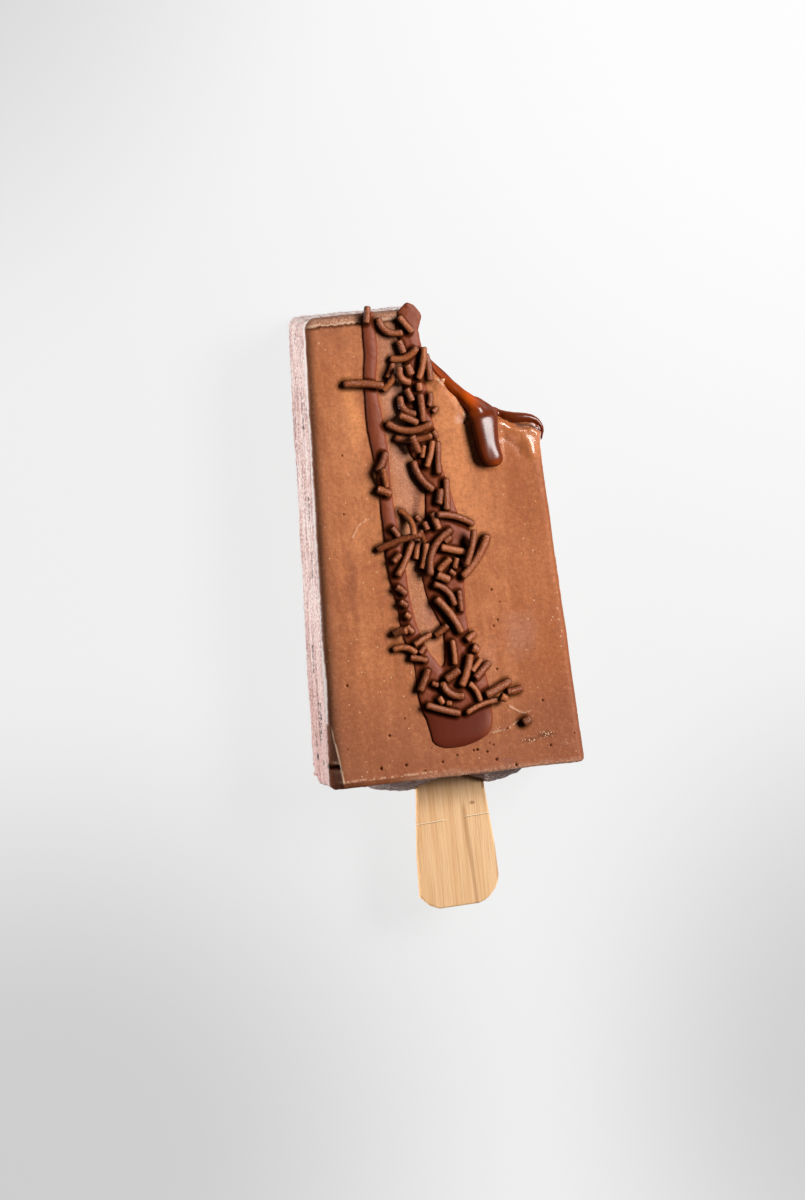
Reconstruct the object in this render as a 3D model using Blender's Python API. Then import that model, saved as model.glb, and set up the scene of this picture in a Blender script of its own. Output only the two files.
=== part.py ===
"""Chocolate ice cream bar on a flat wooden stick, lying on its back, bitten at one corner.

The bar is a tapering moulded slab.  A caramel filling runs through its middle, shows at the
bite, coats the bitten surface and runs over its edge as one thick drop.  Two ribbons of
chocolate drizzle lie on the front face and meet in a pool near the stick.

Axes: +X to the right across the front face, +Y from the stick towards the tip, +Z out of
the front face.  The flat back rests on Z = 0.  Lengths are in millimetres, measured in Y
from the stick end of the bar; point() turns them into metres about the frame's origin.
"""

import math

import bmesh
import bpy
from mathutils import Vector

MM = 0.001
ORIGIN_Y = 50.0          # the frame's origin, along the bar from its stick end
GAP = 0.3                # clearance between two pieces that touch

# The moulded bar
BAR_LENGTH = 100.7
END_WIDTH = 55.6
TIP_WIDTH = 47.4
END_DEPTH = 24.0
TIP_DEPTH = 21.0
FRONT_FILLET = 1.4
BACK_FILLET = 1.6
LIP_FILLET = 0.5         # the crisp front edge at the stick end
HEEL_RADIUS = 8.0        # the back of the bar curves up to the stick end
TIP_CORNER = 2.2         # corners seen from the front
END_CORNER = 1.0
SWELL = 3.3              # ice cream frozen proud of the stick end, round the stick
SWELL_CENTRE = -2.0
SWELL_REACH = 17.5
SWELL_TOP = 18.5         # it stops this high, below the crisp front edge
SWELL_LUMPS = 0.12
SWELL_DIP = 0.6          # it is thin where the stick comes out, over this half width
SWELL_DIP_REACH = 8.0
CORNER_STEPS = 4
END_STEPS = 22

# The caramel core
CORE_WIDTH = 30.0
CORE_DEPTH = 11.0
CORE_MIDDLE = 11.5       # height of the middle of the core and of the stick
CORE_START = 20.0
CORE_END = 88.6
CORE_CORNER = 4.0
CORE_COVER = 0.9         # the core stands this far out of the bitten surface

# The stick
STICK_THICKNESS = 2.0
STICK_OUT = 29.5         # length outside the bar
STICK_IN = 64.5          # length inside it
STICK_NECK = 14.2        # width inside the bar
STICK_WIDE = 17.7        # width near the hand end
STICK_EDGE = 0.35        # softened long edges
WORN_CORNER = ((0.0, 2.9), (1.9, 0.9), (3.9, 0.0))   # the hand end's left corner
HAND_CORNER = 6.6        # its round right corner

# The bite: points along its edge on the front face, from above the tip to beyond the side,
# each with how far the bitten surface leans out at mid depth
BITE_EDGE = (
    (0.9, 106.0, 0.3),
    (0.9, 97.0, 0.3),
    (1.0, 92.5, 0.5),
    (1.8, 89.4, 1.1),
    (3.1, 86.6, 1.6),
    (4.7, 84.3, 2.1),
    (6.3, 81.7, 2.6),
    (8.2, 79.2, 3.0),
    (9.6, 76.6, 3.0),
    (12.4, 75.0, 2.2),
    (16.0, 74.8, 1.7),
    (18.4, 73.2, 1.9),
    (21.0, 72.2, 1.9),
    (23.4, 72.1, 1.7),
    (24.8, 71.0, 1.2),
    (25.6, 68.6, 0.6),
)
BITE_STEPS = 3
# share of the lean that is reached at each share of the depth below the front face
BITE_PROFILE = ((-0.3, 0.0), (-0.02, 0.0), (0.06, 0.25), (0.16, 0.55), (0.3, 0.8), (0.5, 1.0),
                (0.7, 1.0), (0.88, 0.8), (1.0, 0.5), (1.3, 0.3))
FAR = 40.0               # the cutter's outer side

# The caramel on the bitten surface
COAT_FIRST = 0.17        # where it starts and ends, as shares of the bite's edge
COAT_LAST = 0.97
COAT_THICKNESS = 1.05
COAT_RINGS = 34
COAT_ROWS = 8
COAT_ROOT = 0.9          # how far it reaches into the bar before it is trimmed
COAT_BACK = 1.2          # how far it stays from the bar's back
# depth at which it starts below the front face, by share of its own length: on the
# right-hand lobe it starts lower down and leaves bitten ice cream bare
COAT_START = ((0.0, 0.3), (0.52, 0.3), (0.62, 4.2), (0.84, 5.0), (0.93, 2.2), (1.0, 1.8))

# The drop of caramel on the front face: y, left, right, height above the face
DROP = (
    (80.6, 10.2, 12.2, -2.8),
    (79.2, 9.5, 14.0, -1.0),
    (77.8, 9.1, 15.6, 0.6),
    (76.2, 9.1, 16.1, 1.8),
    (74.0, 9.2, 16.0, 2.3),
    (71.0, 9.4, 15.8, 2.4),
    (68.8, 9.8, 16.0, 2.6),
    (67.2, 10.3, 16.3, 2.6),
    (66.1, 11.0, 16.1, 2.2),
    (65.3, 12.3, 15.2, 1.2),
)
DROP_ROOT = 5.0

# The chocolate drizzle: y, left, right, height above the face
NARROW_RIBBON = (
    (101.0, -11.2, -8.6, 0.9),
    (97.0, -11.5, -8.5, 1.2),
    (92.0, -11.6, -8.6, 1.2),
    (87.0, -12.3, -9.4, 1.2),
    (79.0, -12.6, -9.0, 1.2),
    (73.0, -12.4, -8.6, 1.2),
    (67.0, -11.6, -8.4, 1.2),
    (60.0, -11.5, -8.3, 1.2),
    (54.0, -11.4, -7.9, 1.4),
    (47.0, -11.3, -7.4, 1.6),
    (42.0, -10.8, -7.1, 1.4),
    (37.0, -10.0, -6.5, 1.2),
    (31.0, -9.6, -5.3, 1.2),
    (26.0, -7.9, -3.2, 1.3),
    (21.0, -7.6, 0.5, 1.6),
    (16.5, -7.2, 4.0, 1.6),
    (14.0, -4.5, 2.5, 0.8),
)
WIDE_RIBBON = (
    (101.9, -1.9, -0.1, 0.5),
    (100.8, -3.2, 0.9, 1.0),
    (98.8, -4.0, 1.9, 1.3),
    (96.0, -4.5, 0.8, 1.4),
    (92.0, -5.2, 1.2, 1.8),
    (86.0, -6.2, 1.2, 2.2),
    (80.0, -6.6, 1.6, 2.2),
    (75.0, -6.8, 2.2, 2.2),
    (71.0, -4.4, 2.6, 1.8),
    (66.0, -2.2, 3.0, 1.6),
    (61.0, -1.5, 4.4, 1.5),
    (56.0, -2.0, 5.4, 1.8),
    (52.0, -3.0, 8.0, 2.3),
    (47.0, -4.6, 7.4, 2.4),
    (43.0, -4.2, 5.6, 2.0),
    (38.0, -3.2, 5.1, 1.5),
    (33.0, -1.1, 5.1, 1.5),
    (28.0, -0.7, 5.9, 1.9),
    (22.0, -2.2, 7.8, 2.4),
    (17.0, -7.2, 8.5, 2.3),
    (13.0, -6.3, 8.6, 1.7),
    (10.0, -5.7, 8.4, 1.5),
    (8.0, -5.4, 7.0, 1.4),
    (6.8, -4.2, 4.2, 1.0),
    (6.1, -2.4, 1.6, 0.4),
)
RIBBON_STEPS = 2
ARCH_STEPS = 9
ARCH_FULLNESS = 0.75     # below 1 the sides of a ribbon stand steeper than an ellipse

# The chip broken off the front left edge: y, how far in, how deep
CHIP = (
    (14.8, 0.0, 1.2),
    (12.0, 0.4, 1.5),
    (9.8, 1.0, 1.7),
    (7.8, 1.2, 1.8),
    (5.6, 1.8, 2.0),
    (3.0, 2.1, 2.2),
    (1.0, 2.3, 2.4),
    (-3.0, 2.4, 2.6),
)
CHIP_MARGIN = 2.0
PIT_PLACE = (-26.8, 4.8)
PIT_SIZE = (2.4, 1.1, 6.4)


def point(x, y, z):
    """A place on the bar, in metres in the part's frame."""
    return Vector((x, y - ORIGIN_Y, z)) * MM


def blend(table, place):
    """The value at place in a table of (place, value) rows, straight between rows."""
    for (low, first), (high, second) in zip(table, table[1:]):
        if place <= high:
            share = max(0.0, (place - low) / (high - low))
            return first + (second - first) * share
    return table[-1][1]


def smooth_rows(rows, steps):
    """Rows along a smooth curve through the given rows, steps to each span."""
    result = []
    for index in range(len(rows) - 1):
        before = rows[max(index - 1, 0)]
        start = rows[index]
        end = rows[index + 1]
        after = rows[min(index + 2, len(rows) - 1)]
        for step in range(steps):
            t = step / steps
            result.append(tuple(
                0.5 * (2 * b + (c - a) * t + (2 * a - 5 * b + 4 * c - d) * t ** 2
                       + (3 * b - a - 3 * c + d) * t ** 3)
                for a, b, c, d in zip(before, start, end, after)))
    result.append(tuple(rows[-1]))
    return result


def half_width(y):
    return (END_WIDTH + (TIP_WIDTH - END_WIDTH) * y / BAR_LENGTH) / 2


def face_height(y):
    """Height of the sloping front face above the back."""
    return END_DEPTH + (TIP_DEPTH - END_DEPTH) * y / BAR_LENGTH


def material(name, colour, roughness, metallic=0.0):
    made = bpy.data.materials.new(name)
    made.use_nodes = True
    shader = made.node_tree.nodes["Principled BSDF"]
    shader.inputs["Base Color"].default_value = (*colour, 1.0)
    shader.inputs["Roughness"].default_value = roughness
    shader.inputs["Metallic"].default_value = metallic
    return made


def add_object(name, bm, finish=None):
    """Put the finished bmesh in the scene; without a finish it is a cutter."""
    bmesh.ops.recalc_face_normals(bm, faces=bm.faces)
    mesh = bpy.data.meshes.new(name)
    bm.to_mesh(mesh)
    bm.free()
    made = bpy.data.objects.new(name, mesh)
    bpy.context.scene.collection.objects.link(made)
    if finish:
        mesh.materials.append(finish)
        mesh.shade_smooth()
        mesh.set_sharp_from_angle(angle=math.radians(35))
    else:
        made.hide_render = True
        made.display_type = "WIRE"
    return made


def loft(rings):
    """A closed solid through rings of equally many points, with flat ends."""
    bm = bmesh.new()
    loops = []
    for ring in rings:
        verts = [bm.verts.new(place) for place in ring]
        loops.append([bm.edges.new(pair) for pair in zip(verts, verts[1:] + verts[:1])])
    for first, second in zip(loops, loops[1:]):
        bmesh.ops.bridge_loops(bm, edges=first + second)
    for end in (loops[0], loops[-1]):
        bmesh.ops.contextual_create(bm, geom=end)
    return bm


def cut(target, cutter, operation="DIFFERENCE"):
    boolean = target.modifiers.new(cutter.name, "BOOLEAN")
    boolean.operation = operation
    boolean.object = cutter
    boolean.solver = "EXACT"


def arc(x, y, radius, start, stop, steps=CORNER_STEPS):
    angles = [math.radians(start + (stop - start) * k / steps) for k in range(steps + 1)]
    return [(x + radius * math.cos(a), y + radius * math.sin(a)) for a in angles]


def swell(x, height):
    """How far the ice cream stands proud of the stick end, a little unevenly."""
    across = 1 - ((x - SWELL_CENTRE) / SWELL_REACH) ** 2
    if across <= 0 or not 0 < height < SWELL_TOP:
        return 0.0
    uneven = 1 - SWELL_LUMPS * (math.cos(x / 3.2) + 0.4 * math.sin(1.3 * x))
    uneven -= SWELL_DIP * max(0.0, 1 - (x / SWELL_DIP_REACH) ** 2)
    return SWELL * uneven * across ** 0.4 * math.sin(math.pi * height / SWELL_TOP) ** 0.8


def slab(name, grow=0.0, finish=None):
    """The whole moulded bar before the bite, made larger all round by grow."""
    quarter = [math.radians(90 * k / CORNER_STEPS) for k in range(CORNER_STEPS + 1)]
    back = [BACK_FILLET * (1 - math.cos(a)) for a in quarter]
    heel = [HEEL_RADIUS * (1 - math.cos(a)) for a in quarter[2:]]
    middle = [10.5, 13.0, 15.5, 18.0, 20.5]
    front = [END_DEPTH - FRONT_FILLET * (1 - math.sin(a)) for a in quarter]
    rings = []
    for height in sorted(set(back + heel + middle + front)):
        low = max(BACK_FILLET - height, 0.0)
        high = max(height - END_DEPTH + FRONT_FILLET, 0.0)
        inset = BACK_FILLET - math.sqrt(BACK_FILLET ** 2 - low ** 2)
        inset += FRONT_FILLET - math.sqrt(FRONT_FILLET ** 2 - high ** 2)
        heel_low = max(HEEL_RADIUS - height, 0.0)
        end = HEEL_RADIUS - math.sqrt(HEEL_RADIUS ** 2 - heel_low ** 2) - grow
        lip = max(height - END_DEPTH + LIP_FILLET, 0.0)
        end += LIP_FILLET - math.sqrt(LIP_FILLET ** 2 - lip ** 2)
        end_half = half_width(end) - inset + grow
        tip = BAR_LENGTH - inset + grow
        tip_half = half_width(tip) - inset + grow
        reach = end_half - END_CORNER
        foot = [reach * (2 * k / END_STEPS - 1) for k in range(1, END_STEPS)]
        outline = arc(-reach, end + END_CORNER, END_CORNER, 180, 270)
        outline += [(x, end - swell(x, height)) for x in foot]
        outline += arc(reach, end + END_CORNER, END_CORNER, 270, 360)
        outline += arc(tip_half - TIP_CORNER, tip - TIP_CORNER, TIP_CORNER, 0, 90)
        outline += arc(TIP_CORNER - tip_half, tip - TIP_CORNER, TIP_CORNER, 90, 180)
        share = height / END_DEPTH
        rings.append([point(x, y, share * face_height(y) + grow * (2 * share - 1))
                      for x, y in outline])
    return add_object(name, loft(rings), finish)


def bite_path():
    """The bite's edge on the front face as rows of x, y, lean, outward x, outward y."""
    rows = smooth_rows(BITE_EDGE, BITE_STEPS)
    path = []
    for index, (x, y, lean) in enumerate(rows):
        before = rows[max(index - 1, 0)]
        after = rows[min(index + 1, len(rows) - 1)]
        along = Vector((after[0] - before[0], after[1] - before[1])).normalized()
        path.append((x, y, lean, -along.y, along.x))
    return path


def bitten(row, depth, extra):
    """A place on the bitten surface at a depth below the front face, moved out by extra."""
    x, y, lean, out_x, out_y = row
    top = face_height(y)
    out = lean * blend(BITE_PROFILE, depth / top) + extra
    return x + out * out_x, y + out * out_y, top - depth


def bite_cutter(name, extra=0.0):
    """What the bite takes away; extra leaves that much more of the bar."""
    path = bite_path()
    rings = []
    for share, _ in reversed(BITE_PROFILE):
        ring = [bitten(row, share * face_height(row[1]), extra) for row in path]
        last = ring[-1]
        ring += [(FAR, last[1], last[2]), (FAR, ring[0][1], ring[0][2])]
        rings.append([point(*place) for place in ring])
    return add_object(name, loft(rings))


def rounded_box(low, high, corner):
    """A box between two places, its edges along Y rounded."""
    bm = bmesh.new()
    bmesh.ops.create_cube(bm, size=1.0)
    for vert in bm.verts:
        pick = [b if c > 0 else a for a, b, c in zip(low, high, vert.co)]
        vert.co = point(*pick)
    along = [e for e in bm.edges if abs((e.verts[0].co - e.verts[1].co).normalized().y) > 0.9]
    bmesh.ops.bevel(bm, geom=along, offset=corner * MM, segments=3, profile=0.5,
                    affect="EDGES", clamp_overlap=True)
    return bm


def core(name, grow=0.0):
    low = (-CORE_WIDTH / 2 - grow, CORE_START - grow, CORE_MIDDLE - CORE_DEPTH / 2 - grow)
    high = (CORE_WIDTH / 2 + grow, CORE_END + grow, CORE_MIDDLE + CORE_DEPTH / 2 + grow)
    return rounded_box(low, high, CORE_CORNER + grow)


def stick_outline(grow=0.0):
    """The flat stick from the front: narrow inside the bar, wider and worn at the hand."""
    neck = STICK_NECK / 2 + grow
    wide = STICK_WIDE / 2 + grow
    low = -STICK_OUT - grow
    left = [(x - wide, y + low) for x, y in WORN_CORNER]
    right = arc(wide - HAND_CORNER, low + HAND_CORNER, HAND_CORNER, 285, 355, 6)
    flare = [(wide - 0.25, -17.0), (neck + 0.45, -5.0), (neck, 6.0)]
    round_end = arc(0.0, STICK_IN - STICK_NECK / 2, neck, 0, 180, 14)
    back = [(-x, y) for x, y in reversed(flare)]
    return left + right + flare + round_end + back


def stick_body(grow=0.0, soften=STICK_EDGE):
    bm = bmesh.new()
    bottom = CORE_MIDDLE - STICK_THICKNESS / 2 - grow
    verts = [bm.verts.new(point(x, y, bottom)) for x, y in stick_outline(grow)]
    face = bm.faces.new(verts)
    rise = (STICK_THICKNESS + 2 * grow) * MM
    grown = bmesh.ops.extrude_face_region(bm, geom=[face])["geom"]
    top = [item for item in grown if isinstance(item, bmesh.types.BMVert)]
    bmesh.ops.translate(bm, verts=top, vec=(0, 0, rise))
    if soften:
        rims = [e for e in bm.edges if abs(e.verts[0].co.z - e.verts[1].co.z) < rise / 2]
        bmesh.ops.bevel(bm, geom=rims, offset=soften * MM, segments=2, profile=0.5,
                        affect="EDGES", clamp_overlap=True)
    return bm


def arch(y, left, right, base, height):
    """One ring across a ribbon or a drop: a flat bottom and a rounded top."""
    middle = (left + right) / 2
    half = (right - left) / 2
    ring = []
    for k in range(ARCH_STEPS + 1):
        angle = math.pi * k / ARCH_STEPS
        lift = height * max(math.sin(angle), 0.0) ** ARCH_FULLNESS
        ring.append(point(middle + half * math.cos(angle), y, base + lift))
    return ring


def ribbon(name, rows, finish=None):
    """A ribbon of drizzle that lies on the sloping face, its gap below it."""
    rings = []
    for y, left, right, height in smooth_rows(rows, RIBBON_STEPS):
        rings.append(arch(y, left, right, face_height(y) + GAP, height))
    return add_object(name, loft(rings), finish)


def coat(name, finish=None):
    """The caramel that coats the bitten surface, one ring of it at each place along the edge."""
    path = bite_path()
    rings = []
    for k in range(COAT_RINGS + 1):
        share = k / COAT_RINGS
        place = (COAT_FIRST + (COAT_LAST - COAT_FIRST) * share) * (len(path) - 1)
        index = min(int(place), len(path) - 2)
        part = place - index
        row = [a + (b - a) * part for a, b in zip(path[index], path[index + 1])]
        first = blend(COAT_START, share)
        last = face_height(row[1]) - COAT_BACK
        taper = min(1.0, 0.35 + 6 * share, 0.35 + 6 * (1 - share))
        outer = []
        inner = []
        for j in range(COAT_ROWS + 1):
            depth = first + (last - first) * j / COAT_ROWS
            round_off = 0.5 + 0.5 * math.sin(math.pi * j / COAT_ROWS) ** 0.5
            thickness = COAT_THICKNESS * taper * round_off
            outer.append(point(*bitten(row, depth, GAP + thickness)))
            inner.append(point(*bitten(row, depth, -COAT_ROOT)))
        rings.append(outer + inner[::-1])
    return add_object(name, loft(rings), finish)


def drop(name):
    rings = []
    for y, left, right, height in smooth_rows(DROP, RIBBON_STEPS):
        base = face_height(y) - DROP_ROOT
        top = arch(y, left, right, face_height(y), height)
        rings.append(top + [point(left, y, base), point(right, y, base)])
    return add_object(name, loft(rings))


def chip_cutter(name):
    rings = []
    for y, inward, deep in CHIP:
        top = face_height(y)
        side = half_width(y)
        rings.append([point(x, y, z) for x, z in (
            (-side + inward, top + CHIP_MARGIN),
            (-side + inward, top - 0.1),
            (-side + 0.35 * inward, top - 0.8 * deep),
            (-side - CHIP_MARGIN, top - deep),
            (-side - CHIP_MARGIN, top + CHIP_MARGIN))])
    return add_object(name, loft(rings))


def pit_cutter(name):
    """The dark hole in the chip."""
    bm = bmesh.new()
    bmesh.ops.create_uvsphere(bm, u_segments=10, v_segments=8, radius=0.5)
    x, y = PIT_PLACE
    for vert in bm.verts:
        size = [a * b for a, b in zip(vert.co, PIT_SIZE)]
        vert.co = point(x + size[0], y + size[1], face_height(y) - 1.4 + size[2])
    return add_object(name, bm)


def build():
    for old in list(bpy.data.objects):
        bpy.data.objects.remove(old, do_unlink=True)

    chocolate_ice = material("chocolate_ice_cream", (0.42, 0.165, 0.075), 0.55)
    caramel = material("caramel", (0.14, 0.025, 0.004), 0.08)
    milk_chocolate = material("milk_chocolate", (0.19, 0.065, 0.035), 0.4)
    birch = material("birch_wood", (0.78, 0.5, 0.25), 0.6)

    stick = add_object("stick", stick_body(), birch)

    ice_cream = slab("ice_cream", finish=chocolate_ice)
    stick_room = add_object("stick_room", stick_body(GAP, soften=0.0))
    core_room = add_object("core_room", core("core_room", GAP))
    cut(ice_cream, bite_cutter("bite"))
    cut(ice_cream, core_room)
    cut(ice_cream, stick_room)
    cut(ice_cream, chip_cutter("chip"))
    cut(ice_cream, pit_cutter("pit"))

    # what the caramel keeps clear of: the bitten bar, larger all round by the gap
    keep_clear = slab("keep_clear", GAP)
    cut(keep_clear, bite_cutter("bite_clear", GAP))
    core_body = add_object("core_body", core("core_body"))
    cut(core_body, bite_cutter("bite_core", CORE_COVER))
    filling = coat("caramel_filling", caramel)
    cut(filling, drop("drop"), "UNION")
    cut(filling, keep_clear)
    cut(filling, core_body, "UNION")
    cut(filling, stick_room)

    drizzle = ribbon("chocolate_drizzle", WIDE_RIBBON, milk_chocolate)
    cut(drizzle, ribbon("narrow_ribbon", NARROW_RIBBON), "UNION")
    return stick, ice_cream, filling, drizzle


build()
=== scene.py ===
"""Looks of the chocolate ice cream bar that lies on its back on a pale floor.

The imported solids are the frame.  Here the ice cream gets its frosted walls, pits and cracks,
the caramel and the drizzle get their soft poured shapes, and the sprinkles are laid on top.

Places are in millimetres on the bar, as a maker would mark them out: x to the right across
the front face, y from the stick end towards the tip, z up from the floor.
"""

import math
import random

import bmesh
import bpy
from mathutils import Euler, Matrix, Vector, noise
from mathutils.bvhtree import BVHTree
from mathutils.geometry import intersect_point_line
from mathutils.kdtree import KDTree


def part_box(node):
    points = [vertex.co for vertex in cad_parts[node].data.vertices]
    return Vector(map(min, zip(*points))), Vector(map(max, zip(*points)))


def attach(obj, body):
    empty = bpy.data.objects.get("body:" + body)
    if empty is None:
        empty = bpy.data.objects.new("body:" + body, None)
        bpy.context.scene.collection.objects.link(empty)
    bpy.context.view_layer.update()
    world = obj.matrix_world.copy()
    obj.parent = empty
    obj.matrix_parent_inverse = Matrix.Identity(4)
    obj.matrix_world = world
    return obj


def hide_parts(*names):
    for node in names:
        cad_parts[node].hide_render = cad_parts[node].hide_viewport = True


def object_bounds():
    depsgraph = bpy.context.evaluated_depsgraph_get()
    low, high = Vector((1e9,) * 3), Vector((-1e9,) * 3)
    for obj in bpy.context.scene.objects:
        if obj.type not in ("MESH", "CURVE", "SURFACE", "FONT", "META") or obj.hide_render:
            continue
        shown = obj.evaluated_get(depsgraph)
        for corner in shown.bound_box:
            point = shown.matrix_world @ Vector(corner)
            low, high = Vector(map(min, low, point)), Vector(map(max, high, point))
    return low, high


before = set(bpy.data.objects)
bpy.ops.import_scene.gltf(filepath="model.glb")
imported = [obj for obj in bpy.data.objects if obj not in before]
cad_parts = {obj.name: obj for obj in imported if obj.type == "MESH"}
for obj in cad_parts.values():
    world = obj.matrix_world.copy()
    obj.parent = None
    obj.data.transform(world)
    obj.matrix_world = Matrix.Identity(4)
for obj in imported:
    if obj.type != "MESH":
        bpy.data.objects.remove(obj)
cad_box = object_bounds()

MM = 0.001
BAR_LENGTH = 100.7
TIP_DEPTH = 21.0
TIP_WIDTH = 47.4
BAR_LOW, BAR_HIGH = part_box("ice_cream")
ORIGIN_Y = BAR_LENGTH - BAR_HIGH.y / MM      # the frame's origin, along the bar
END_DEPTH = BAR_HIGH.z / MM
END_WIDTH = 2 * BAR_HIGH.x / MM
TOP_SPARE = 0.75
TOP_LIMIT = cad_box[1].z / MM + TOP_SPARE    # nothing stands higher than this

ICE_CREAM_GRAIN = 0.53   # edge length of each piece's fine mesh
CARAMEL_GRAIN = 0.34
DRIZZLE_GRAIN = 0.25


# ---------------------------------------------------------------- measures

def along(y):
    """Share of the bar's length at y."""
    return y / BAR_LENGTH


def face_height(y):
    """Height of the sloping front face."""
    return END_DEPTH + (TIP_DEPTH - END_DEPTH) * along(y)


def half_width(y):
    return (END_WIDTH + (TIP_WIDTH - END_WIDTH) * along(y)) / 2


def point(x, y, z):
    """A place on the bar, in metres in the frame."""
    return Vector((x, y - ORIGIN_Y, z)) * MM


def on_bar(co):
    """The place on the bar of a point in metres."""
    return co.x / MM, co.y / MM + ORIGIN_Y, co.z / MM


def smooth(low, high, value):
    """0 below low, 1 above high, and a smooth change between."""
    share = min(max((value - low) / (high - low), 0.0), 1.0)
    return share * share * (3 - 2 * share)


def near(x, y, centre, reach):
    """1 at the centre, falling smoothly to 0 at reach."""
    return 1 - smooth(0.0, reach, math.hypot(x - centre[0], y - centre[1]))


def wobble(co, size, seed=0.0):
    """Smooth noise from -1 to 1 whose lumps are about size millimetres across."""
    return noise.noise(co / (MM * size) + Vector((seed, 0.37 * seed, -0.61 * seed)))


# ---------------------------------------------------------------- shader maths

class Socket:
    """A shader value that takes part in plain arithmetic."""

    def __init__(self, finish, link):
        self.finish = finish
        self.link = link

    def maths(self, operation, first, second):
        return self.finish.node("ShaderNodeMath", {"operation": operation}, {0: first, 1: second})

    def __add__(self, other):
        return self.maths("ADD", self, other)

    def __radd__(self, other):
        return self.maths("ADD", other, self)

    def __sub__(self, other):
        return self.maths("SUBTRACT", self, other)

    def __rsub__(self, other):
        return self.maths("SUBTRACT", other, self)

    def __mul__(self, other):
        return self.maths("MULTIPLY", self, other)

    def __rmul__(self, other):
        return self.maths("MULTIPLY", other, self)

    def away(self, other):
        """How far it is from another value."""
        return self.finish.node("ShaderNodeMath", {"operation": "ABSOLUTE"}, {0: self - other})

    def step(self, low, high):
        """0 at low, 1 at high, and a smooth change between; low may be the larger."""
        return self.finish.node("ShaderNodeMapRange", {"interpolation_type": "SMOOTHSTEP"}, {
            "Value": self, "From Min": low, "From Max": high})

    def under(self, share, *shade):
        """This colour under a share of a painter's colour."""
        return self.finish.paint(share, self, colour(*shade))


def colour(red, green, blue):
    """A colour as a painter's 0 to 255 values, turned linear."""
    linear = [((c / 255 + 0.055) / 1.055) ** 2.4 if c > 10 else c / 255 / 12.92
              for c in (red, green, blue)]
    return (*linear, 1.0)


class Finish:
    """A material, and the one way in which it gets its nodes."""

    def __init__(self, name):
        self.material = bpy.data.materials.new(name)
        self.material.use_nodes = True
        self.tree = self.material.node_tree
        self.tree.nodes.clear()

    def node(self, kind, settings=None, inputs=None, output=0):
        """Adds a node: its settings first, then the values or links of its sockets."""
        made = self.tree.nodes.new(kind)
        for name, value in (settings or {}).items():
            setattr(made, name, value)
        for name, value in (inputs or {}).items():
            if isinstance(value, Socket):
                self.tree.links.new(value.link, made.inputs[name])
            else:
                made.inputs[name].default_value = value
        return Socket(self, made.outputs[output]) if made.outputs else None

    def place(self):
        """Where a point of the piece is, in millimetres in the frame."""
        spot = self.node("ShaderNodeTexCoord", output="Object")
        return self.node("ShaderNodeVectorMath", {"operation": "SCALE"}, {0: spot, "Scale": 1 / MM})

    def axes(self):
        """x and y of a point on the bar, each as a value."""
        spot = self.node("ShaderNodeSeparateXYZ", inputs={0: self.place()})
        x, y, _ = spot.link.node.outputs
        return Socket(self, x), Socket(self, y) + ORIGIN_Y

    def stretched(self, size, stretch):
        """Where a point is, counted in steps of size millimetres that are longer by stretch."""
        scale = [1 / (size * share) for share in stretch]
        return self.node("ShaderNodeMapping", inputs={"Vector": self.place(), "Scale": scale})

    def grain(self, size, detail=2.0, stretch=(1.0, 1.0, 1.0), rough=0.5, warp=0.0):
        """Noise from 0 to 1 with lumps of about size millimetres, longer by stretch."""
        return self.node("ShaderNodeTexNoise", {}, {
            "Vector": self.stretched(size, stretch), "Scale": 1.0, "Detail": detail, "Roughness": rough,
            "Distortion": warp})

    def spots(self, size, stretch=(1.0, 1.0, 1.0)):
        """Distance to the nearest of scattered spots about size millimetres apart."""
        return self.node("ShaderNodeTexVoronoi", {}, {
            "Vector": self.stretched(size, stretch), "Scale": 1.0})

    def paint(self, share, first, second):
        """A colour between two colours."""
        return self.node("ShaderNodeMix", {"data_type": "RGBA"}, {0: share, 6: first, 7: second},
                         output=2)

    def layer(self, name):
        """A value that the piece's mesh carries at each vertex."""
        return self.node("ShaderNodeAttribute", {"attribute_name": name}, output="Fac")

    def relief(self, height, depth, under=None):
        """A bump whose full height is depth millimetres."""
        inputs = {"Height": height, "Distance": depth * MM, "Strength": 1.0}
        if under:
            inputs["Normal"] = under
        return self.node("ShaderNodeBump", {}, inputs)

    def patch(self, centre, reach, bend=0.0):
        """1 at a centre x, y on the face, falling to 0 at a reach along x and y."""
        middle = point(*centre, 0.0) / MM
        spot = self.place()
        if bend:
            drift = self.node("ShaderNodeTexNoise", {}, {"Vector": spot, "Scale": 0.16}, output=1)
            drift = self.node("ShaderNodeVectorMath", {"operation": "SCALE"}, {
                0: drift, "Scale": bend})
            spot = self.node("ShaderNodeVectorMath", {"operation": "ADD"}, {0: spot, 1: drift})
            middle = middle + Vector((bend, bend, 0.0)) / 2
        spot = self.node("ShaderNodeMapping", {"vector_type": "TEXTURE"}, {
            "Vector": spot, "Location": middle, "Scale": (*reach, 1000.0)})
        return self.node("ShaderNodeTexGradient", {"gradient_type": "SPHERICAL"},
                         {0: spot}).step(0.0, 0.8)

    def glaze(self, inputs):
        return self.node("ShaderNodeBsdfPrincipled", inputs=inputs)

    def blend(self, share, under, over):
        """Under, covered by a share of over."""
        return self.node("ShaderNodeMixShader", {}, {0: share, 1: under, 2: over})

    def surface(self, share, under, over):
        """The finished material: under, covered by a share of over."""
        both = self.blend(share, under, over)
        self.node("ShaderNodeOutputMaterial", inputs={"Surface": both})
        return self.material

    def plain_surface(self, inputs):
        self.node("ShaderNodeOutputMaterial", inputs={"Surface": self.glaze(inputs)})
        return self.material


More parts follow.
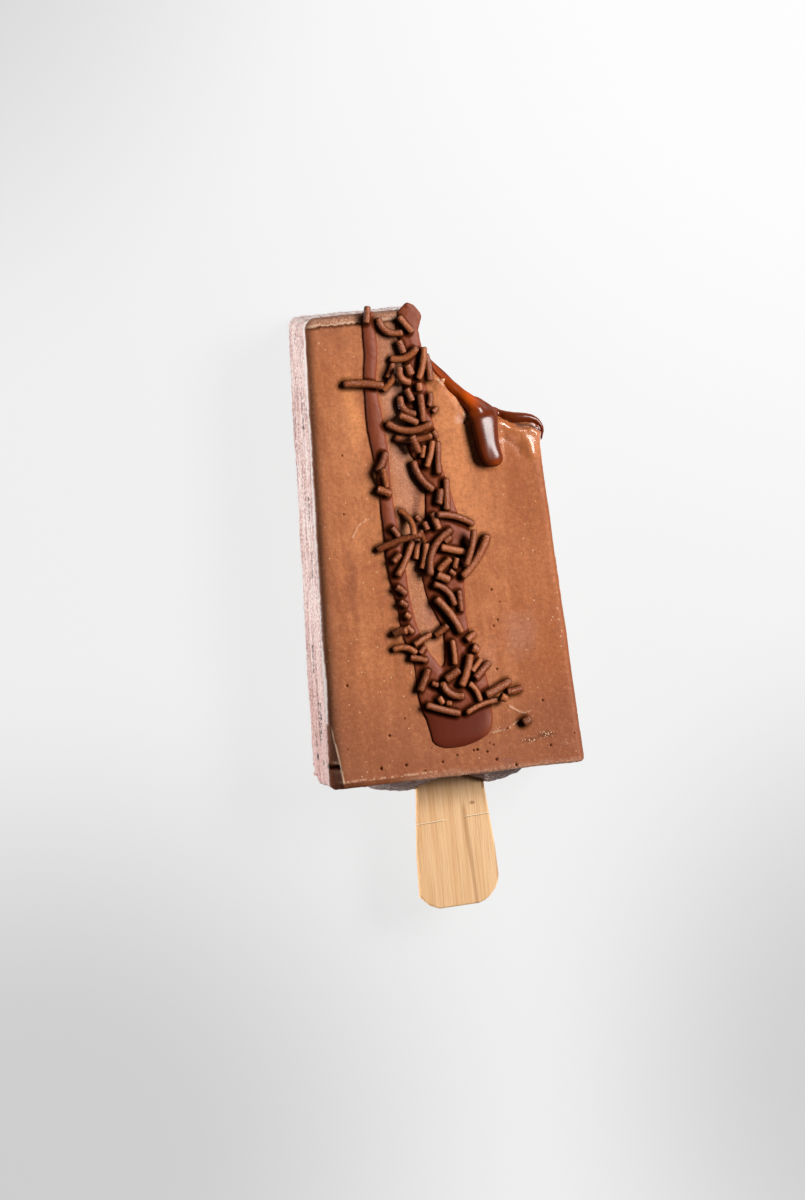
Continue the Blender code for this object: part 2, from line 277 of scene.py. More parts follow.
# Softly bounded patches of the face: centre, reach along x and y, colour, strength
PATCHES = (
    ((-15.4, 79.5), (2.6, 11.0), (236, 152, 88), 0.8),
    ((-16.5, 68.0), (6.0, 26.0), (220, 141, 89), 0.5),
    ((5.5, 70.0), (7.0, 17.0), (220, 139, 84), 0.75),
    ((9.0, 55.0), (8.0, 14.0), (214, 134, 82), 0.6),
    ((24.5, 69.0), (5.0, 7.0), (226, 148, 100), 0.7),
    ((19.0, 62.0), (4.0, 13.0), (176, 98, 58), 0.6),
    ((-19.6, 42.0), (2.0, 15.0), (156, 88, 54), 0.7),
    ((16.8, 28.5), (5.5, 8.0), (196, 134, 106), 0.75),
    ((8.5, 24.0), (4.0, 7.0), (206, 134, 96), 0.6),
    ((17.5, 11.0), (6.5, 4.5), (152, 84, 50), 0.55),
    ((-5.5, 76.0), (4.0, 30.0), (212, 142, 108), 0.85),
    ((-2.0, 36.0), (3.5, 14.0), (190, 118, 88), 0.6),
    ((8.0, 76.4), (1.3, 1.6), (238, 178, 150), 0.7),
    ((25.0, 9.0), (9.0, 14.0), (138, 80, 50), 0.55),
    ((10.6, 2.0), (3.4, 1.5), (146, 98, 86), 0.6),
    ((24.0, 4.0), (3.0, 1.4), (206, 140, 110), 0.5),
    ((19.5, 2.4), (6.0, 0.6), (206, 140, 110), 0.5),
    ((19.0, 70.4), (2.2, 2.0), (222, 142, 112), 0.7),
    # these two paint the shadow along the left side of the wide ribbon
    ((-3.2, 58.0), (1.7, 9.0), (122, 56, 26), 0.95),
    ((-2.7, 40.0), (1.6, 8.0), (140, 70, 38), 0.8),
)


def ice_cream_finish():
    finish = Finish("chocolate_ice_cream")
    frost = finish.layer("frost")
    rime = finish.layer("rime")
    dark = finish.layer("dark")
    wet = finish.layer("wet")
    gap = finish.layer("gap")
    pale = finish.layer("pale")
    x, y = finish.axes()

    # the chocolate: lengthwise streaks, darker margins, patches, a fine mottle and flecks
    streaks = finish.grain(2.6, 3.0, (1.0, 8.0, 1.0), warp=0.5).step(0.34, 0.68)
    clouds = finish.grain(9.0, 3.0, warp=0.8).step(0.34, 0.68)
    mottle = finish.grain(0.9, 4.0, rough=0.72)
    body = finish.paint(streaks, colour(183, 108, 62), colour(208, 130, 80))
    body = body.under(clouds * 0.45, 182, 104, 60)
    for centre, reach, tint, share in PATCHES:
        body = body.under(finish.patch(centre, reach, 6.0) * share, *tint)
    body = body.under(x.step(7.0, 24.0) * 0.6, 165, 88, 42)
    body = body.under(x.step(-19.0, -27.0) * 0.6, 134, 74, 46)
    body = body.under(y.step(32.0, 2.0) * 0.6, 146, 83, 55)
    body = body.under(y.step(88.0, 99.0) * 0.5, 160, 92, 60)
    veins = finish.grain(4.5, 3.0, (1.0, 2.5, 1.0), 0.6).away(0.5).step(0.09, 0.0)
    body = body.under(veins * clouds * 0.3, 154, 84, 52)
    body = body.under(mottle.step(0.4, 0.75) * 0.45, 132, 70, 42)
    body = body.under(mottle.step(0.47, 0.2) * 0.4, 226, 154, 106)
    bubbles = finish.spots(1.3).step(0.13, 0.07) * finish.grain(5.0).step(0.5, 0.6)
    body = body.under(bubbles * 0.5, 110, 56, 34)
    flecks = finish.spots(1.7).step(0.13, 0.06) * finish.grain(8.0).step(0.42, 0.56)
    body = body.under(flecks * 0.6, 246, 200, 156)
    bits = finish.spots(0.42, (0.7, 1.3, 1.0))
    frosted = 1.5 * finish.patch((19.6, 6.8), (2.7, 1.0)) + 1.1 * finish.patch((16.1, 6.0), (3.0, 0.9))
    frosted = frosted + 0.5 * finish.patch((9.8, 9.0), (2.8, 0.9))
    frosted = frosted + 0.2 * finish.patch((24.0, 4.4), (2.6, 1.4))
    body = body.under(bits.step(0.3, 0.42) * frosted * 0.5, 96, 44, 26)
    body = body.under(bits.step(0.34, 0.2) * frosted, 255, 214, 170)
    # lighter where melted: partly melt, partly painted light on the lit rim
    body = body.under(wet * 0.4, 216, 138, 90)
    crystals = finish.grain(0.34, 3.0, rough=0.78)
    sparkle = crystals.step(0.44, 0.66)
    rimy = finish.paint(sparkle, colour(172, 114, 84), colour(232, 188, 160))
    body = finish.paint(rime, body, rimy)
    body = body.under(pale, 255, 214, 180)
    # painted shadow of the sprinkles on the ice cream, from the gap layer
    body = body.under(gap * 0.65, 34, 10, 4)
    # the dark layer: painted shade in the edge band, the chip, its slot, the stick end wall, the right
    # edge, the crease, the pits, holes and cracks, with darker lines at the tip and the lip
    body = body.under(dark, 30, 10, 5)
    mat = finish.relief(mottle, 0.12)
    skin = finish.glaze({
        "Base Color": body, "Roughness": 0.5 - 0.38 * wet + 0.15 * (mottle - 0.5),
        "Normal": finish.relief(crystals * (0.12 + rime), 0.3, mat), "IOR": 1.4,
        "Coat Weight": wet, "Coat Roughness": 0.1, "Coat IOR": 1.5,
        "Specular IOR Level": 0.3, "Subsurface Weight": 0.06, "Subsurface Scale": 0.001,
        "Subsurface Radius": (1.0, 0.45, 0.25)})

    # a matt finish where shade and shadow are painted, so that they show no reflection
    matt = finish.glaze({"Base Color": body, "Roughness": 0.9, "Specular IOR Level": 0.0})
    skin = finish.blend((dark + gap).step(0.1, 0.7), skin, matt)

    # the frost: lengthwise bands of ice crystals, with mauve streaks
    bands = finish.grain(2.8, 3.0, (1.0, 10.0, 1.0), rough=0.6)
    streaky = finish.grain(1.4, 3.0, (1.0, 10.0, 1.0), rough=0.7)
    coarse = finish.grain(0.6, 3.0, rough=0.7)
    icy = finish.paint(bands.step(0.36, 0.62), colour(216, 166, 156), colour(244, 208, 200))
    icy = icy.under(streaky.step(0.5, 0.66) * 0.7, 255, 240, 234)
    icy = icy.under(streaky.step(0.48, 0.34) * 0.9, 166, 112, 110)
    icy = icy.under(coarse.step(0.48, 0.34) * 0.7, 128, 84, 84)
    icy = icy.under(coarse.step(0.5, 0.62) * 0.85, 255, 246, 240)
    icy = icy.under(y.step(40.0, 8.0) * 0.4, 190, 122, 112)
    icy = icy.under(frost.step(1.05, 1.45) * 0.8, 255, 246, 240)
    # the same painted shade on the frost, in its holes and cracks
    icy = icy.under(dark, 40, 20, 20)
    cover = (frost + 0.6 * (crystals - 0.5)).step(0.3, 0.7)
    ice = finish.glaze({
        "Base Color": icy, "Roughness": 0.7, "IOR": 1.31,
        "Normal": finish.relief(coarse, 0.5, finish.relief(streaky, 0.5)),
        "Specular IOR Level": 0.4, "Sheen Weight": 0.4, "Sheen Roughness": 0.5})
    return finish.surface(cover, skin, ice)


def caramel_finish():
    finish = Finish("caramel")
    glow_through = finish.layer("glow_through")
    shine = finish.layer("shine")
    edge = finish.layer("edge")
    streaks = finish.grain(3.0, 2.0, (1.0, 1.0, 2.0), warp=0.5)
    deep = finish.paint(streaks, colour(76, 26, 7), colour(122, 48, 13))
    # painted glow where light shows through the thin caramel
    body = deep.under(glow_through, 184, 74, 13)
    # painted shade on the drop's flanks that turn away from the light
    body = body.under(edge * 0.85, 34, 9, 2)
    dull = finish.glaze({
        "Base Color": body, "Roughness": 0.5, "IOR": 1.3, "Specular IOR Level": 0.0})
    gloss = finish.glaze({
        "Base Color": body, "Roughness": 0.26, "IOR": 1.45, "Specular IOR Level": 0.35,
        "Coat Weight": 0.22, "Coat Roughness": 0.14})
    return finish.surface(shine, dull, gloss)


def drizzle_finish():
    finish = Finish("milk_chocolate")
    flank_shade = finish.layer("flank_shade")
    gap = finish.layer("gap")
    x, y = finish.axes()
    pool = y.step(17.0, 12.5)
    lit = (x + 0.25 * (10 - y)).step(5.0, 8.6) * pool
    flow = finish.grain(1.5, 3.0, (1.0, 5.0, 1.0), warp=0.3)
    mottle = finish.grain(0.45, 3.0, rough=0.65)
    body = finish.paint(flow, colour(120, 53, 29), colour(152, 74, 43))
    body = body.under(pool, 104, 42, 25)
    body = body.under(lit * 0.6, 150, 74, 40)
    # painted shade on the ribbons' flanks, most on the left ones, which turn away from the light
    body = body.under(flank_shade * 0.75, 40, 13, 6)
    # painted shadow of the sprinkles on the drizzle, from the gap layer
    body = body.under(gap * 0.8, 24, 6, 2)
    soft = finish.glaze({
        "Base Color": body, "Roughness": 0.46 + 0.16 * mottle - 0.2 * pool,
        "Normal": finish.relief(mottle * (1 - 0.9 * pool), 0.06), "IOR": 1.45,
        "Specular IOR Level": 0.35})
    # a matt finish where shade and shadow are painted
    dull = finish.glaze({"Base Color": body, "Roughness": 0.9, "Specular IOR Level": 0.0})
    return finish.surface((gap + flank_shade).step(0.1, 0.6), soft, dull)


def sprinkle_finish():
    finish = Finish("sprinkle_chocolate")
    tone = finish.layer("tone")
    low = finish.layer("low")
    grain = finish.grain(0.34, 3.0, rough=0.75)
    blotch = finish.grain(1.1, 2.0)
    body = finish.paint(tone, colour(138, 66, 32), colour(180, 98, 52))
    # light specks in the grain, partly painted sparkle highlights
    body = body.under(grain.step(0.5, 0.68) * 0.4, 226, 150, 96)
    body = body.under(grain.step(0.5, 0.32) * 0.35, 66, 26, 11)
    body = body.under(blotch.step(0.6, 0.8) * 0.35, 84, 38, 19)
    # painted shade on the sides of each sprinkle that turn down from the light
    body = body.under(low * 0.9, 24, 7, 2)
    return finish.plain_surface({
        "Base Color": body, "Roughness": 0.2 + 0.16 * grain,
        "Normal": finish.relief(grain, 0.16), "IOR": 1.5, "Specular IOR Level": 0.45})


def birch_finish():
    finish = Finish("birch_wood")
    x, y = finish.axes()
    fibres = finish.grain(0.2, 3.0, (1.0, 60.0, 1.0), rough=0.6)
    bands = finish.grain(1.5, 3.0, (1.0, 22.0, 1.0), warp=0.2)
    body = finish.paint(bands.step(0.34, 0.66), colour(232, 180, 128),
                        colour(244, 198, 148))
    body = body.under(fibres.step(0.48, 0.74) * 0.45, 190, 134, 84)
    body = body.under(fibres.step(0.5, 0.3) * 0.3, 252, 214, 168)
    streak = (x + 0.05 * y).away(1.3 + 1.2 * bands).step(0.7, 0.1)
    streak = streak * y.step(-6.0, -9.0)
    body = body.under(streak * 0.55, 168, 112, 64)
    edge = x.away(8.7).step(0.5, 0.1) * y.step(-14.0, -18.0)
    body = body.under(edge * 0.5, 146, 92, 52)
    knots = finish.patch((4.4, -7.3), (1.0, 0.7)) + finish.patch((7.1, -3.6), (0.6, 1.6))
    body = body.under((knots * (0.4 + fibres)).step(0.3, 0.8) * 0.7, 150, 96, 52)
    bend = y.away(-10.3 + 0.05 * x + 0.25 * (bands - 0.5))
    score = bend.step(0.22, 0.08) * x.away(0.3).step(1.5, 3.0)
    body = body.under(score * 0.55, 255, 228, 188)
    # painted shadow of the ice cream on the top of the stick
    body = body.under(y.step(-4.2, -0.8) * 0.5, 116, 64, 38)
    grain = finish.relief(fibres, 0.08)
    return finish.plain_surface({
        "Base Color": body, "Roughness": 0.58 + 0.12 * fibres,
        "Normal": finish.relief(score, 0.15, grain), "IOR": 1.45, "Specular IOR Level": 0.3})


# Where the pale floor is shaded or bright: centre, reach along x and y, grey, strength
FLOOR_PATCHES = (
    ((105.0, 175.0), (190.0, 190.0), 255, 1.0),
    ((-120.0, 215.0), (130.0, 130.0), 212, 0.9),
    ((-95.0, -75.0), (120.0, 110.0), 204, 0.9),
    ((100.0, -80.0), (95.0, 110.0), 204, 0.9),
)


def floor_finish():
    """Pale and mostly lit from within, as a light table, so that shadows stay faint."""
    finish = Finish("pale_floor")
    tone = colour(243, 243, 243)
    for centre, reach, grey, share in FLOOR_PATCHES:
        tone = finish.paint(finish.patch(centre, reach) * share, tone, colour(grey, grey, grey))
    glow = finish.node("ShaderNodeEmission", {}, {"Color": tone, "Strength": FLOOR_GLOW})
    matt = finish.node("ShaderNodeBsdfDiffuse", {}, {"Color": FLOOR_SHADE})
    both = finish.node("ShaderNodeAddShader", {}, {0: glow, 1: matt})
    finish.node("ShaderNodeOutputMaterial", inputs={"Surface": both})
    return finish.material


# ---------------------------------------------------------------- meshes

def put(name, data):
    """Puts a mesh, a light or a camera in the scene."""
    made = bpy.data.objects.new(name, data)
    bpy.context.scene.collection.objects.link(made)
    return made


def surface_of(made):
    """A piece's surface, to find the nearest point of."""
    return BVHTree.FromObject(made, bpy.context.evaluated_depsgraph_get())


def tree_of(bm):
    """The mesh's vertices, to find those that are close to a place."""
    tree = KDTree(len(bm.verts))
    for vert in bm.verts:
        tree.insert(vert.co, vert.index)
    tree.balance()
    bm.verts.ensure_lookup_table()
    return tree


def merged_copy(node):
    """A CAD node's mesh as a bmesh whose triangles are joined."""
    bm = bmesh.new()
    bm.from_mesh(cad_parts[node].data)
    bmesh.ops.remove_doubles(bm, verts=bm.verts, dist=0.001 * MM)
    return bm


def remeshed(bm, grain):
    """The bmesh made again of even squares of about the grain's size."""
    mesh = bpy.data.meshes.new("coarse")
    bm.to_mesh(mesh)
    bm.free()
    holder = put("coarse", mesh)
    fine = holder.modifiers.new("fine", "REMESH")
    fine.mode = "VOXEL"
    fine.voxel_size = grain * MM
    fine.use_smooth_shade = True
    shown = holder.evaluated_get(bpy.context.evaluated_depsgraph_get())
    result = bmesh.new()
    result.from_mesh(shown.to_mesh())
    shown.to_mesh_clear()
    bpy.data.objects.remove(holder)
    bpy.data.meshes.remove(mesh)
    return result


def soften(bm, times):
    for _ in range(times):
        bmesh.ops.smooth_vert(bm, verts=bm.verts, factor=0.5,
                              use_axis_x=True, use_axis_y=True, use_axis_z=True)


def strand(bm, spine, radii, sides, lump=None):
    """A closed round strand along a line of points, with its radius at each."""
    last = len(spine) - 1
    loops = []
    for k, (spot, radius) in enumerate(zip(spine, radii)):
        ahead = (spine[min(k + 1, last)] - spine[max(k - 1, 0)]).normalized()
        across = ahead.cross(Vector((0, 0, 1))).normalized()
        up = across.cross(ahead)
        verts = []
        for j in range(sides):
            angle = 2 * math.pi * j / sides
            out = across * math.cos(angle) + up * math.sin(angle)
            swell = lump(out, spot) if lump else 1.0
            verts.append(bm.verts.new(spot + out * radius * swell))
        loops.append([bm.edges.new(pair) for pair in zip(verts, verts[1:] + verts[:1])])
    for first, second in zip(loops, loops[1:]):
        bmesh.ops.bridge_loops(bm, edges=first + second)
    for end in (loops[0], loops[-1]):
        bmesh.ops.contextual_create(bm, geom=end)


def strand_on_face(bm, rows, sides):
    """A strand along rows of x, y, depth below the face and radius; gives its middle line."""
    spine = [point(x, y, face_height(y) - depth) for x, y, depth, _ in rows]
    strand(bm, spine, [row[3] * MM for row in rows], sides)
    return spine


def layers(bm, *names):
    """Named values that the mesh carries at each vertex."""
    return [bm.verts.layers.float.new(name) for name in names]


def piece(name, bm, finish, replaced=None):
    """Puts a finished bmesh in the scene as a piece of the bar."""
    mesh = bpy.data.meshes.new(name)
    bm.normal_update()
    bm.to_mesh(mesh)
    bm.free()
    mesh.shade_smooth()
    mesh.materials.append(finish)
    made = put(name, mesh)
    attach(made, "root")
    if replaced:
        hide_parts(replaced)
    return made


# ---------------------------------------------------------------- the ice cream

# Air pits on the front face, painted dark as shade in their hollows: x, y and width
PITS = (
    (-14.5, 10.3, 0.7), (-17.0, 3.5, 0.8), (-11.5, 3.6, 0.8), (-3.5, 3.4, 0.7), (-0.2, 4.5, 0.5),
    (-7.5, 2.0, 0.5), (-5.6, 6.6, 0.45), (3.5, 5.1, 0.55), (4.3, 5.2, 0.65), (6.4, 4.5, 0.6),
    (7.1, 6.3, 0.45), (7.9, 5.8, 0.5), (8.3, 2.6, 0.9), (11.3, 9.0, 0.6), (20.5, 4.3, 0.6),
    (19.7, 14.1, 0.6), (10.4, 21.9, 0.6), (10.6, 31.2, 0.6), (10.9, 39.0, 0.5), (11.6, 32.4, 0.5),
    (12.4, 36.2, 0.45), (-22.6, 22.0, 0.8), (-18.6, 71.0, 0.5), (8.7, 75.2, 0.7), (-19.5, 58.5, 0.4),
    (25.5, 8.7, 0.4), (25.9, 6.3, 0.4), (-10.8, 13.6, 0.4), (-23.9, 8.4, 0.4), (12.5, 0.9, 0.8),
)
PIT_DEPTH = 0.55
HOLE_DEPTH = 0.35
CRACK_DEPTH = 0.2
DENT_REACH = 2.5         # no dent is wider than twice this
# Holes in the frosted left wall, painted dark as shade: y, z, length, height
HOLES = (
    (6.1, 8.7, 2.2, 3.4), (5.3, 14.5, 1.8, 2.4), (14.0, 2.0, 1.3, 1.6), (100.4, 16.5, 0.9, 3.0),
    (100.0, 13.4, 1.1, 2.0), (88.0, 9.0, 0.7, 1.8), (101.0, 20.4, 0.8, 1.6),
)
# Dents and bumps in that wall: y, z, length, height, depth (less than 0 is a bump)
WALL_MARKS = (
    (2.1, 5.1, 1.6, 1.6, -0.7),
    (4.0, 3.2, 1.4, 1.4, -0.4), (9.0, 11.5, 2.4, 1.2, 0.4), (12.0, 6.0, 2.0, 1.4, 0.45),
    (8.4, 5.6, 1.8, 1.0, 0.4), (38.0, 3.0, 2.0, 1.4, 0.3),
)
# Cracks along that wall, painted dark as shade: y, z at their two ends
CRACKS = (
    ((62.3, 14.6), (44.8, 13.0)), ((18.3, 14.2), (9.9, 14.6)), ((20.0, 11.8), (8.6, 12.2)),
    ((84.0, 12.5), (76.0, 12.0)), ((97.6, 10.0), (95.4, 7.0)), ((30.0, 8.6), (24.0, 8.2)),
    ((17.7, 14.1), (9.6, 13.2)), ((11.5, 7.4), (8.2, 8.4)),
)
CRACK_STEP = 0.35
# The edge of the chip off the front left edge: x, y
CHIP_RIM = ((-25.4, -1.0), (-25.4, 1.4), (-25.8, 4.6), (-25.9, 5.8), (-26.2, 8.3), (-26.4, 9.6),
            (-26.7, 10.4), (-26.8, 11.9), (-27.1, 13.9))
EDGE_BAND = 1.5          # width of the bare edge between the frosted wall and the face, painted dark as shade
TIP_BARE = 2.5           # the bare band is this much wider at the tip
TIP_BAND = 98.6          # frost starts here on the face at the tip
SWELL_MORE = 0.55        # right of the stick the ice cream swells out this much farther
SLOT_Y = 4.8             # the middle of the slot in the chip, painted black as shade
LIP_Y = 1.5              # a pale edge marks the lip along the stick end here
BITE_DROP = 1.4          # the face goes down this much past the edge of the bite
BESIDE_REACH = 1.4       # the ice cream this near to the caramel or the stick is beside them
TOUCH_REACH = 0.9        # this near, it is moved out to touch them
TOUCH_DEPTH = 0.2        # and a little way in
# The melted rim of the bite on the right, and the crease inside it
MELTED_RIM = ((16.5, 74.7), (17.6, 73.7), (18.8, 73.1), (19.9, 72.5), (21.1, 72.5), (22.7, 72.7),
              (24.2, 72.6), (24.7, 71.0))
CREASE = ((17.1, 71.2), (18.9, 69.9), (20.1, 68.8), (20.2, 67.4))
WET_STREAK = ((21.6, 70.5), (22.2, 70.0), (22.5, 68.6), (22.7, 67.0))
# Fine light creases low on the right of the face, and one on the left
CREASES = (
    ((-18.2, 53.3), (-17.2, 54.9), (-16.7, 55.7), (-15.8, 56.3), (-15.0, 56.5), (-14.9, 57.0)),
    ((7.6, 8.3), (8.8, 8.5), (9.9, 8.7), (11.1, 8.9), (12.0, 9.2), (13.8, 10.3)),
    ((12.0, 13.9), (13.5, 12.8), (14.6, 12.1), (15.6, 11.8), (17.1, 12.2)),
)
# Where the face ends at the bite: x, y
BITE_EDGE = ((1.8, 88.6), (3.0, 86.8), (3.7, 85.5), (4.3, 84.5), (4.9, 83.8), (6.0, 82.0),
             (7.3, 80.8), (8.4, 78.9), (9.1, 76.4))
# A thin tongue of ice cream over the caramel: x, y, depth below the face, radius
TONGUE = (
    (3.4, 83.2, 0.5, 0.9), (4.3, 84.2, 0.1, 0.65), (5.0, 84.8, -0.1, 0.5), (5.4, 85.1, -0.15, 0.4),
)


def chip_at(y):
    """How far in the chip goes at y."""
    for (x0, y0), (x1, y1) in zip(CHIP_RIM, CHIP_RIM[1:]):
        if y < y1:
            return half_width(y) + x0 + (x1 - x0) * max(y - y0, 0.0) / (y1 - y0)
    return -1.0


def height_of(x, line):
    """The y of a line of points at x."""
    for (x0, y0), (x1, y1) in zip(line, line[1:]):
        if x <= x1:
            return y0 + (y1 - y0) * (x - x0) / (x1 - x0)
    return line[-1][1]


def off_line(x, y, line):
    """Distance in the face's plane from a place to a line of points."""
    spot = Vector((x, y))
    gaps = []
    for first, second in zip(line, line[1:]):
        close, share = intersect_point_line(spot, first, second)
        share = min(max(share, 0.0), 1.0)
        gaps.append((Vector(first).lerp(Vector(second), share) - spot).length)
    return min(gaps)


def marks():
    """Each dent or bump of the ice cream: place, half sizes along x, y and z, depth, and darkness of
    the shade painted into it.
    """
    chance = random.Random(11)
    made = []
    for x, y, width in PITS:
        half = 0.55 * width
        made.append((point(x, y, face_height(y)), (half, half * chance.uniform(0.8, 1.4), 1.0),
                     PIT_DEPTH, chance.uniform(0.55, 0.95)))
    for y, z, length, height in HOLES:
        place = point(-half_width(y), y, z)
        made.append((place, (2.5, length / 2, height / 2), HOLE_DEPTH, 1.0))
    for y, z, length, height, depth in WALL_MARKS:
        place = point(-half_width(y), y, z)
        made.append((place, (2.0, length / 2, height / 2), depth, 0.0))
    for (y0, z0), (y1, z1) in CRACKS:
        steps = int(abs(y1 - y0) / CRACK_STEP)
        for k in range(steps):
            share = k / steps
            y = y0 + (y1 - y0) * share
            z = z0 + (z1 - z0) * share + chance.uniform(-0.15, 0.15)
            deep = chance.choice((0.0, 0.5, 0.9, 1.0))
            place = point(-half_width(y), y, z)
            made.append((place, (2.0, 0.4, 1.2), CRACK_DEPTH * deep, deep))
    return made


def refine(bm, places, reach):
    """Makes the mesh finer round the places."""
    tree = tree_of(bm)
    chosen = set()
    for place in places:
        chosen.update(index for _, index, _ in tree.find_range(place, reach * MM))
    edges = [edge for edge in bm.edges
             if edge.verts[0].index in chosen and edge.verts[1].index in chosen]
    bmesh.ops.subdivide_edges(bm, edges=edges, cuts=2, use_grid_fill=True)
    bm.verts.index_update()
    bm.normal_update()


def press(bm, dents, dark):
    """Presses the dents into the mesh and paints shade into them."""
    tree = tree_of(bm)
    for place, halves, depth, darkness in dents:
        for co, index, _ in tree.find_range(place, DENT_REACH * MM):
            vert = bm.verts[index]
            away = [(c - p) / (half * MM) for c, p, half in zip(co, place, halves)]
            share = 1 - smooth(0.0, 1.0, math.hypot(*away))
            vert.co = vert.co - vert.normal * depth * MM * share
            vert[dark] = max(vert[dark], darkness * smooth(0.1, 0.6, share))


def close_on(bm, neighbours, free):
    """Moves the mesh out to touch its neighbours, but not round the free places.

    Tells which verts lie beside the neighbours."""
    grounds = [surface_of(made) for made in neighbours]
    beside = {}
    for vert in bm.verts:
        for ground in grounds:
            spot, facing, _, gap = ground.find_nearest(vert.co, BESIDE_REACH * MM)
            if spot:
                beside[vert] = min(beside.get(vert, 9.0), gap / MM)
                loose = any((vert.co - place).length < TOUCH_REACH * MM for place in free)
                if gap < TOUCH_REACH * MM and (vert.co - spot).dot(facing) > 0 and not loose:
                    vert.co = spot - facing * TOUCH_DEPTH * MM
    bm.normal_update()
    return beside


def line_places(line):
    """Places close together along a line of points on the face."""
    places = []
    for (x0, y0), (x1, y1) in zip(line, line[1:]):
        for k in range(9):
            x = x0 + (x1 - x0) * k / 8
            y = y0 + (y1 - y0) * k / 8
            places.append(point(x, y, face_height(y)))
    return places


def at_bite_edge(x, y):
    return 2 < x < 9.1 and 74 < y < 90


def lower_past_bite(bm):
    """Takes the face down where the bite has gone through it, except at the tongue."""
    for vert in bm.verts:
        x, y, z = on_bar(vert.co)
        if at_bite_edge(x, y):
            beyond = smooth(0.0, 0.5, off_line(x, y, BITE_EDGE)) * (y > height_of(x, BITE_EDGE))
            clear = beyond * smooth(0.6, 0.9, math.dist((x, y), TONGUE[2][:2]))
            vert.co.z -= BITE_DROP * clear * smooth(1.8, 0.9, face_height(y) - z) * MM


class Spot:
    """A vertex of the ice cream: where it is, and its shares of wall, face and tip."""

    def __init__(self, vert):
        self.co = vert.co
        self.facing = vert.normal
        self.x, self.y, z = on_bar(vert.co)
        self.depth = face_height(self.y) - z
        self.left = half_width(self.y) + self.x
        self.side = min(self.left, half_width(self.y) - self.x)
        self.jag = 0.35 * wobble(vert.co, 0.8, 5.0)
        self.outer = (min(self.side, BAR_LENGTH - self.y, self.y, z) < 0.75
                      or self.y < 7 and self.facing.y < -0.4)
        wider = smooth(1.5, 0.5, BAR_LENGTH - self.y) * smooth(0.5, 3.0, self.left)
        bare = EDGE_BAND + TIP_BARE * wider
        below = smooth(bare - 0.5, bare, self.depth + 0.5 * self.jag)
        self.wall = below if self.outer and self.depth > 0 else 0.0
        self.face = smooth(1.2, 0.6, self.depth) * smooth(0.3, 0.7, self.facing.z)
        self.tip = smooth(TIP_BAND, TIP_BAND + 0.3, self.y + self.jag) * (1 - self.wall)
        self.tip_line = smooth(0.35, 0.1, abs(self.y + self.jag - TIP_BAND)) * self.face


def chip_shares(spot):
    """Shares of the chip's inside in painted shade, its pale rim, its slot painted black as shade, and
    the slot's rim.
    """
    chip = chip_at(spot.y)
    chipped = chip - spot.left
    on_left = spot.side == spot.left
    inside = smooth(-0.05, 0.15, chipped) * smooth(0.3, 0.6, spot.depth) * on_left
    inside *= smooth(3.6, 2.9, spot.depth)
    rim = smooth(0.28, 0.08, abs(spot.left - chip - 0.08)) * smooth(0.6, 0.3, spot.depth)
    rim *= (chip > 0) * smooth(0.9, 1.5, spot.y)
    slot = smooth(0.75, 0.35, abs(spot.y - SLOT_Y + 0.3 * spot.jag)) * (chipped > 0)
    slot *= smooth(5.0, 4.0, spot.depth)
    slot_rim = smooth(0.3, 0.1, abs(abs(spot.y - SLOT_Y) - 0.95)) * (chipped > 0)
    slot_rim *= smooth(2.0, 1.0, spot.depth)
    return inside, rim, slot, slot_rim


def lip_shares(spot):
    """Shares of the lip at the stick end: its rime, its shade, its pale edge and its frost."""
    x, y, depth, jag = spot.x, spot.y, spot.depth, spot.jag
    rime = smooth(1.3, 0.5, y + jag) * smooth(0.9, 0.5, depth) * smooth(-16.0, -8.0, x)
    shade = smooth(1.4, 1.0, y + 0.4 * jag) * smooth(-4.0, -16.0, x) * (1 - spot.wall)
    shade *= 0.36 + 0.2 * smooth(-19.0, -24.0, x)
    edge = smooth(0.3, 0.1, abs(y - LIP_Y + 0.4 * jag)) * smooth(4.0, -10.0, x) * spot.face
    edge *= 0.4 * smooth(-0.2, 0.1, wobble(spot.co, 0.6, 2.0))
    frost = smooth(0.45, 0.2, abs(y - 0.25 + 0.3 * jag)) * smooth(0.9, 0.6, depth)
    frost *= smooth(-24.0, -16.0, x) * smooth(9.0, 5.0, x) * 0.45 * smooth(-0.1, 0.2, jag)
    return rime, shade, edge, frost


def bite_edging(spot):
    """How pale the broken edge of the face is along the bite and on the tongue."""
    if not at_bite_edge(spot.x, spot.y) or spot.depth >= 1:
        return 0.0
    edging = max(smooth(0.4, 0.15, off_line(spot.x, spot.y, BITE_EDGE)),
                 smooth(0.8, 0.4, math.dist((spot.x, spot.y), TONGUE[3][:2])))
    return edging * (1 - 0.6 * smooth(0.0, 0.4, wobble(spot.co, 2.5, 8.0)))


